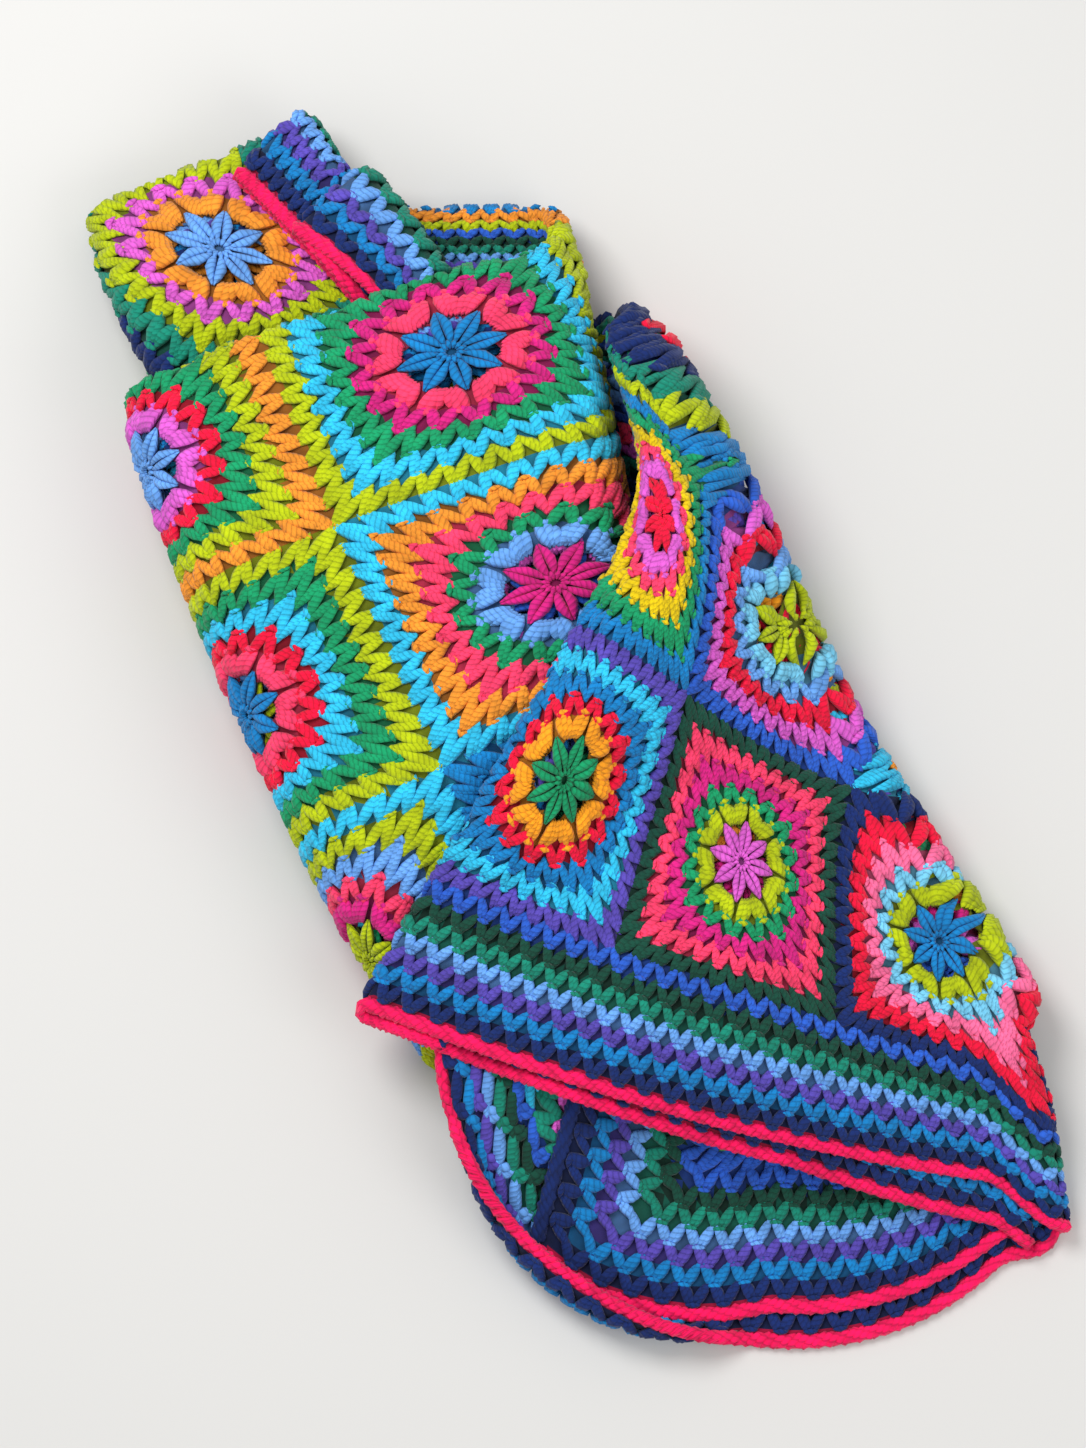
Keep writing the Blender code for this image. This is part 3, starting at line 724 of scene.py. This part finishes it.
def tube_mesh(name, strands, flip, material):
    """One mesh of all the strands: flip is 1 on the cloth's face, -1 on its back."""
    u, q, height, width, colour = strands
    count, length = u.shape
    middle, normal, along_u, along_q = placed(u, q, height * flip)
    width = width * side_stretch(u, q, along_u, along_q)
    normal = normal * flip
    along = np.gradient(middle, axis=1)
    along /= np.maximum(np.linalg.norm(along, axis=2, keepdims=True), TINY)
    aside = np.cross(along, normal)
    aside /= np.maximum(np.linalg.norm(aside, axis=2, keepdims=True), TINY)
    over = np.cross(aside, along)
    shrink = np.ones(length)
    shrink[[0, -1]] = END_WIDTH
    half = (width * shrink)[:, :, None, None]
    angle = 2 * np.pi * (np.arange(SIDES) + 0.5) / SIDES
    ring = (middle[:, :, None] + half * aside[:, :, None] * np.cos(angle)[:, None]
            + half * FLATNESS * over[:, :, None] * np.sin(angle)[:, None])
    ends = middle[:, [0, -1]] + along[:, [0, -1]] * (width[:, [0, -1]] * TIP)[:, :, None] \
        * np.array([-1.0, 1.0])[None, :, None]
    points = np.concatenate([ring.reshape(count, -1, 3), ends], axis=1)
    per = points.shape[1]
    last = (length - 1) * SIDES
    quads, tips = [], []
    for start in range(0, last, SIDES):
        for k in range(SIDES):
            a, b = start + k, start + (k + 1) % SIDES
            quads.append((a, b, b + SIDES, a + SIDES))
    for k in range(SIDES):
        beside = (k + 1) % SIDES
        tips.append((per - 2, beside, k))
        tips.append((per - 1, last + k, last + beside))
    tones = np.concatenate([np.repeat(colour, len(part), axis=0) for part in (quads, tips)])
    first = per * np.arange(count)[:, None, None]
    quads = (np.array(quads) + first).reshape(-1, 4)
    tips = (np.array(tips) + first).reshape(-1, 3)
    run = np.concatenate([np.zeros((count, 1)), np.cumsum(
        np.linalg.norm(np.diff(middle, axis=1), axis=2), axis=1)], axis=1)
    start = (np.arange(count) * PLY_START % PLY_RANGE)[:, None]
    uv = np.zeros((count, per, 2))
    uv[:, :-2, 0] = np.repeat(run + start, SIDES, axis=1)
    uv[:, :-2, 1] = np.tile(np.arange(SIDES) / SIDES, length)
    uv[:, -2, 0], uv[:, -1, 0] = start[:, 0], (run[:, -1:] + start)[:, 0]
    points = points.reshape(-1, 3) * MM
    points[:, 2] = np.maximum(points[:, 2], 0.0)
    return mesh_from(name, points, quads, tips, tones, uv.reshape(-1, 2), material)


def mesh_from(name, points, quads, tips, tones, uvs, material):
    mesh = bpy.data.meshes.new(name)
    loops = np.concatenate([quads.ravel(), tips.ravel()]).astype(np.int32)
    sizes = np.concatenate([np.full(len(quads), 4), np.full(len(tips), 3)]).astype(np.int32)
    starts = np.concatenate([[0], np.cumsum(sizes)[:-1]]).astype(np.int32)
    mesh.vertices.add(len(points))
    mesh.vertices.foreach_set("co", points.astype(np.float32).ravel())
    mesh.loops.add(len(loops))
    mesh.loops.foreach_set("vertex_index", loops)
    mesh.polygons.add(len(sizes))
    mesh.polygons.foreach_set("loop_start", starts)
    mesh.polygons.foreach_set("use_smooth", np.ones(len(sizes), bool))
    tone = mesh.attributes.new("tone", "FLOAT_COLOR", "FACE")
    tone.data.foreach_set("color", np.c_[tones, np.ones(len(tones))].astype(np.float32).ravel())
    layer = mesh.attributes.new("yarn", "FLOAT2", "POINT")
    layer.data.foreach_set("vector", uvs.astype(np.float32).ravel())
    mesh.update(calc_edges=True)
    mesh.materials.append(material)
    piece = bpy.data.objects.new(name, mesh)
    bpy.context.scene.collection.objects.link(piece)
    return piece


# ---------------------------------------------------------------- the edging

# The cord: its strands' distance from its middle, their size, and a full turn of them.
ROPE_RADIUS, ROPE_FLAT, ROPE_STRAND, ROPE_TURN = 2.8, 1.25, 3.1, 16.0
ROPE_IN, ROPE_STEP, ROPE_STRANDS = 4.2, 3.4, 3   # its middle from the cloth's edge, its points


def edging(material):
    """A cord of three strands round the blanket's whole edge, pink at its two ends."""
    low, high = ROPE_IN, np.array([WIDTH, LENGTH]) - ROPE_IN
    corners = [(low, low), (high[0], low), (high[0], high[1]), (low, high[1])]
    u, q, out_u, out_q = [], [], [], []
    for k in range(4):
        (u0, q0), (u1, q1) = corners[k], corners[(k + 1) % 4]
        length = np.hypot(u1 - u0, q1 - q0)
        t = np.arange(int(length / ROPE_STEP)) * ROPE_STEP / length
        u.append(u0 + (u1 - u0) * t)
        q.append(q0 + (q1 - q0) * t)
        out_u.append(np.full(len(t), (q1 - q0) / length))
        out_q.append(np.full(len(t), -(u1 - u0) / length))
    u, q, out_u, out_q = (np.concatenate(part) for part in (u, q, out_u, out_q))
    run = np.arange(len(u)) * ROPE_STEP
    turns = round(run[-1] / ROPE_TURN)
    points, quads, uvs = [], [], []
    count = len(u)
    for strand in range(ROPE_STRANDS):
        angle = 2 * np.pi * (turns * np.arange(count) / count + strand / ROPE_STRANDS)
        beside = ROPE_RADIUS * ROPE_FLAT * np.cos(angle)
        middle, normal, _, _ = placed(u + out_u * beside, q + out_q * beside,
                                      ROPE_RADIUS * np.sin(angle))
        along = np.roll(middle, -1, axis=0) - np.roll(middle, 1, axis=0)
        along /= np.maximum(np.linalg.norm(along, axis=1, keepdims=True), TINY)
        aside = np.cross(along, normal)
        aside /= np.maximum(np.linalg.norm(aside, axis=1, keepdims=True), TINY)
        over = np.cross(aside, along)
        ring_angle = 2 * np.pi * np.arange(SIDES) / SIDES
        ring = middle[:, None] + ROPE_STRAND * (
            aside[:, None] * np.cos(ring_angle)[:, None] + over[:, None] * np.sin(ring_angle)[:, None])
        first = strand * count * SIDES
        i = np.arange(count)[:, None]
        k = np.arange(SIDES)[None, :]
        a, b = first + i * SIDES + k, first + i * SIDES + (k + 1) % SIDES
        c, d = first + (i + 1) % count * SIDES + (k + 1) % SIDES, first + (i + 1) % count * SIDES + k
        quads.append(np.stack([a, b, c, d], axis=-1).reshape(-1, 4))
        points.append(ring.reshape(-1, 3))
        uvs.append(np.stack(np.broadcast_arrays(run[:, None], np.arange(SIDES) / SIDES), axis=-1)
                   .reshape(-1, 2))
    points, quads = np.concatenate(points) * MM, np.concatenate(quads)
    points[:, 2] = np.maximum(points[:, 2], 0.0)
    at_ends = np.tile(np.repeat(abs(out_q), SIDES), ROPE_STRANDS)[:, None] > 0.5
    tones = np.where(at_ends, linear("hot_pink"), linear(SIDE_EDGING))
    return mesh_from("edging", points, quads, np.zeros((0, 3), int), tones, np.concatenate(uvs),
                     material)


# ---------------------------------------------------------------- the cloth

CLOTH_THICK, CLOTH_CELL, FOLD_LINES = 1.8, 11.5, 4
WELD = 1e-4                         # millimetres between points that count as one
# The gaps between each flower's points: where they start, widen and end, half width.
GAP_IN, GAP_WIDEST, GAP_OUT, GAP_HALF = 13.0, 24.0, 31.0, 7.0


def cloth(material):
    """The thin cloth that the stitches lie on, open round each flower."""
    extra = []
    for (_, start), (end, _) in zip(SECTION_RUNS[:-1], SECTION_RUNS[1:]):
        extra += list(np.linspace(start, end, FOLD_LINES))
    even = np.linspace(0, WIDTH, round(WIDTH / CLOTH_CELL) + 1)
    u = np.unique(np.round(np.concatenate([even, extra]), 2))
    q = np.linspace(0, LENGTH, round(LENGTH / CLOTH_CELL) + 1)
    grid_u, grid_q = np.meshgrid(u, q, indexing="ij")
    points = np.stack([grid_u.ravel(), grid_q.ravel()], axis=1)
    at = np.arange(len(points)).reshape(grid_u.shape)
    edges = np.concatenate([
        np.stack([at[:-1].ravel(), at[1:].ravel()], axis=1),
        np.stack([at[:, :-1].ravel(), at[:, 1:].ravel()], axis=1)])
    gaps = flower_gaps()
    first = len(points)
    hole_edges = np.array([(first + 4 * g + k, first + 4 * g + (k + 1) % 4)
                           for g in range(len(gaps)) for k in range(4)])
    points = np.concatenate([points, gaps.reshape(-1, 2)])
    edges = np.concatenate([edges, hole_edges])
    found = delaunay_2d_cdt(points.tolist(), edges.tolist(), [], 0, WELD)
    flat, faces = np.array([tuple(p) for p in found[0]]), np.array(found[2])
    faces = faces[~in_gap(flat[faces].mean(axis=1))]
    middles = flat[faces].mean(axis=1)
    places = placed(flat[:, 0], flat[:, 1], np.zeros(len(flat)))[0]
    piece = mesh_from("cloth", places * MM, np.zeros((0, 4), int), faces,
                      cloth_colour(middles[:, 0], middles[:, 1]), flat, material)
    shell = piece.modifiers.new("thickness", "SOLIDIFY")
    shell.thickness = CLOTH_THICK * MM
    shell.offset = 0.0
    shell.use_rim = True
    return piece


def flower_gaps():
    """Every square's gaps round its flower, as four corners each."""
    gaps = []
    for column in range(COLUMNS):
        for row in range(ROWS):
            for k in range(POINTS):
                angle = 2 * np.pi * (k + 0.5) / POINTS
                ray = np.array([np.cos(angle), np.sin(angle)])
                side = np.array([-ray[1], ray[0]])
                shape = ((GAP_IN, 0.0), (GAP_WIDEST, -GAP_HALF), (GAP_OUT, 0.0),
                         (GAP_WIDEST, GAP_HALF))
                centre = np.array([SQUARE * (1 + column), SQUARE * (1 + row)])
                gaps.append([centre + ray * r + side * w for r, w in shape])
    return np.array(gaps)


def in_gap(points):
    """Whether each flat point lies in one of the gaps round a flower."""
    x = (points[:, 0] - BORDER) % SQUARE - SQUARE / 2
    y = (points[:, 1] - BORDER) % SQUARE - SQUARE / 2
    far = [WIDTH - BORDER, LENGTH - BORDER]
    in_squares = (points > BORDER).all(axis=1) & (points < far).all(axis=1)
    radius, angle = np.hypot(x, y), np.arctan2(y, x)
    aside = (angle / (2 * np.pi / POINTS)) % 1.0 - 0.5
    along = radius * np.cos(aside * 2 * np.pi / POINTS)
    beside = abs(radius * np.sin(aside * 2 * np.pi / POINTS))
    near = np.where(along < GAP_WIDEST, (along - GAP_IN) / (GAP_WIDEST - GAP_IN),
                    (GAP_OUT - along) / (GAP_OUT - GAP_WIDEST))
    return in_squares & (beside < GAP_HALF * near)


# ---------------------------------------------------------------- materials

SHADER = [("Roughness", 0.85), ("Sheen Weight", 0.1), ("Sheen Roughness", 0.5),
          ("Specular IOR Level", 0.25)]
FIBRES, PATCHES = [("Scale", 900.0), ("Detail", 4.0)], [("Scale", 60.0)]
PATCH_RANGE = [("From Min", 0.3), ("From Max", 0.7)]
STRAND_SHADE = [("To Min", 0.70), ("To Max", 1.06)]
CLOTH_PAINTED_SHADE = [("To Min", 0.16), ("To Max", 0.34)]      # painted shade: the cloth's colour is darkened for its stitches' shadow
BUMP = [("Strength", 0.6), ("Distance", 0.0006)]
PLY_PITCH = 8.0                     # millimetres along a strand for one turn of its plies
PLY_WIDTH, PLY_HEIGHT = 0.25, 4.0   # half a ply by its share of a turn, height by fibres
# painted shade: a strand's colour is darkened in the grooves between its plies
GROOVE_PAINTED_SHADE = [("From Max", 0.12), ("To Min", 0.6), ("To Max", 1.0)]


def add_node(tree, kind, values=(), feeds=(), operation=None, attribute=None):
    """A new shader node, with its sockets' values and what feeds them."""
    node = tree.nodes.new("ShaderNode" + kind)
    if operation:
        node.operation = operation
    if attribute:
        node.attribute_name = attribute
    for socket, value in values:
        node.inputs[socket].default_value = value
    for socket, source in feeds:
        tree.links.new(source, node.inputs[socket])
    return node


def yarn_material(name, plied):
    """Matte yarn with patches and fibres, and with plies wound along a strand; the cloth's colour is
    darkened as painted shade, and the plies' grooves get painted shade.
    """
    material = bpy.data.materials.new(name)
    material.use_nodes = True
    tree = material.node_tree
    shader = tree.nodes["Principled BSDF"]
    for socket, value in SHADER:
        shader.inputs[socket].default_value = value
    tone = add_node(tree, "Attribute", attribute="tone").outputs["Color"]
    place = add_node(tree, "TexCoord").outputs["Object"]
    height = add_node(tree, "TexNoise", FIBRES, [("Vector", place)]).outputs["Fac"]
    patches = add_node(tree, "TexNoise", PATCHES, [("Vector", place)]).outputs["Fac"]
    # patches vary the tone at random; on the cloth they also darken it, as painted shade for its
    # stitches' shadow
    shades = PATCH_RANGE + (STRAND_SHADE if plied else CLOTH_PAINTED_SHADE)
    patches_and_painted_shade = add_node(tree, "MapRange", shades, [("Value", patches)]).outputs["Result"]
    colour = add_node(tree, "VectorMath", (), [(0, tone), ("Scale", patches_and_painted_shade)], "SCALE").outputs[0]
    if plied:
        yarn = add_node(tree, "Attribute", attribute="yarn").outputs["Vector"]
        split = add_node(tree, "SeparateXYZ", (), [(0, yarn)])
        turn = add_node(tree, "Math", [(1, 1.0 / PLY_PITCH)], [(0, split.outputs["X"])],
                        "MULTIPLY").outputs[0]
        wound = add_node(tree, "Math", (), [(0, split.outputs["Y"]), (1, turn)], "ADD").outputs[0]
        plies = add_node(tree, "Math", [(1, PLY_WIDTH)], [(0, wound)], "PINGPONG").outputs[0]
        height = add_node(tree, "Math", [(1, PLY_HEIGHT)], [(0, plies), (2, height)],
                          "MULTIPLY_ADD").outputs[0]
        # painted shade in the grooves between the plies
        groove_shade = add_node(tree, "MapRange", GROOVE_PAINTED_SHADE, [("Value", plies)]).outputs["Result"]
        colour = add_node(tree, "VectorMath", (), [(0, colour), ("Scale", groove_shade)],
                          "SCALE").outputs[0]
    bump = add_node(tree, "Bump", BUMP, [("Height", height)])
    tree.links.new(colour, shader.inputs["Base Color"])
    tree.links.new(bump.outputs["Normal"], shader.inputs["Normal"])
    return material


# ---------------------------------------------------------------- the scene

PIECE_STRANDS = 3900                # strands in one piece, to keep each light


def stitches(face, back, material):
    """Every strand that can be seen, the face's first and then the back's."""
    pieces = []
    strands = Strands()
    for column in range(COLUMNS):
        for row in range(ROWS):
            square_stitches(strands, column, row)
    border_stitches(strands)
    for flip, mask, side in ((1, face, "face"), (-1, back, "back")):
        for rows in strands.gathered():
            u, q = rows[:2]
            middle = u.shape[1] // 2
            keep = np.flatnonzero(seen_at(mask, u[:, middle], q[:, middle]))
            for start in range(0, len(keep), PIECE_STRANDS):
                part = [row[keep[start:start + PIECE_STRANDS]] for row in rows]
                pieces.append(tube_mesh(f"stitches_{side}_{len(pieces)}", part, flip, material))
    return pieces


# Each light: its name, place, energy and width.
LIGHTS = [("key", (-0.9, 0.9, 2.2), 46.0, 1.2), ("fill", (1.4, -0.9, 1.8), 14.0, 1.5)]
LIT_PLACE, WORLD_STRENGTH = (0.0, 0.0, 0.1), 0.7
FLOOR_HALF, FLOOR_DROP, FLOOR_ROUGHNESS = 6.0, 0.002, 0.9
FLOOR_COLOUR = (0.60, 0.595, 0.58, 1.0)


def add_light(name, place, energy, size):
    data = bpy.data.lights.new(name, "AREA")
    data.energy = energy
    data.shape = "DISK"
    data.size = size
    light = bpy.data.objects.new(name, data)
    light.location = place
    way = Vector(LIT_PLACE) - Vector(place)
    light.rotation_euler = way.to_track_quat("-Z", "Y").to_euler()
    bpy.context.scene.collection.objects.link(light)


VIEW_WIDTH, VIEW_ELEVATION, VIEW_AWAY = 0.780, 83.0, 4.5
SENSOR, CLIP_END = 36.0, 50.0
VIEW_MIDDLE = (-34.0, 6.4, 70.0)    # what the picture's middle shows, as in the tables


def make_camera():
    data = bpy.data.cameras.new("camera")
    camera = bpy.data.objects.new("camera", data)
    bpy.context.scene.collection.objects.link(camera)
    bpy.context.scene.camera = camera
    elevation = np.radians(VIEW_ELEVATION)
    x, y, z = VIEW_MIDDLE
    centre = Vector((x - CENTRE[0], y - CENTRE[1], z)) * MM
    camera.location = centre + VIEW_AWAY * Vector((0.0, -np.cos(elevation), np.sin(elevation)))
    camera.rotation_euler = (centre - camera.location).to_track_quat("-Z", "Y").to_euler()
    data.sensor_fit = "HORIZONTAL"
    data.sensor_width = SENSOR
    data.lens = SENSOR * VIEW_AWAY / VIEW_WIDTH
    data.clip_end = CLIP_END


def make_stage():
    mesh = bpy.data.meshes.new("floor")
    half = FLOOR_HALF
    mesh.from_pydata([(-half, -half, 0), (half, -half, 0), (half, half, 0), (-half, half, 0)], [],
                     [(0, 1, 2, 3)])
    floor = bpy.data.objects.new("floor", mesh)
    bpy.context.scene.collection.objects.link(floor)
    floor.location.z = -FLOOR_DROP
    material = bpy.data.materials.new("pale_floor")
    material.use_nodes = True
    shader = material.node_tree.nodes["Principled BSDF"]
    shader.inputs["Base Color"].default_value = FLOOR_COLOUR
    shader.inputs["Roughness"].default_value = FLOOR_ROUGHNESS
    mesh.materials.append(material)
    world = bpy.data.worlds.new("studio")
    bpy.context.scene.world = world
    world.use_nodes = True
    background = world.node_tree.nodes["Background"]
    background.inputs["Color"].default_value = (1.0, 1.0, 1.0, 1.0)
    background.inputs["Strength"].default_value = WORLD_STRENGTH
    for light in LIGHTS:
        add_light(*light)
    bpy.context.scene.view_settings.view_transform = "Standard"


def main():
    make_camera()
    make_stage()
    strand_material = yarn_material("yarn_strands", True)
    cloth_material = yarn_material("yarn_cloth", False)
    base = cloth(cloth_material)
    face, back = visible_faces(base)
    pieces = stitches(face, back, strand_material)
    pieces.append(edging(strand_material))
    for piece in [base] + pieces:
        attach(piece, "root")
    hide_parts("blanket")


main()
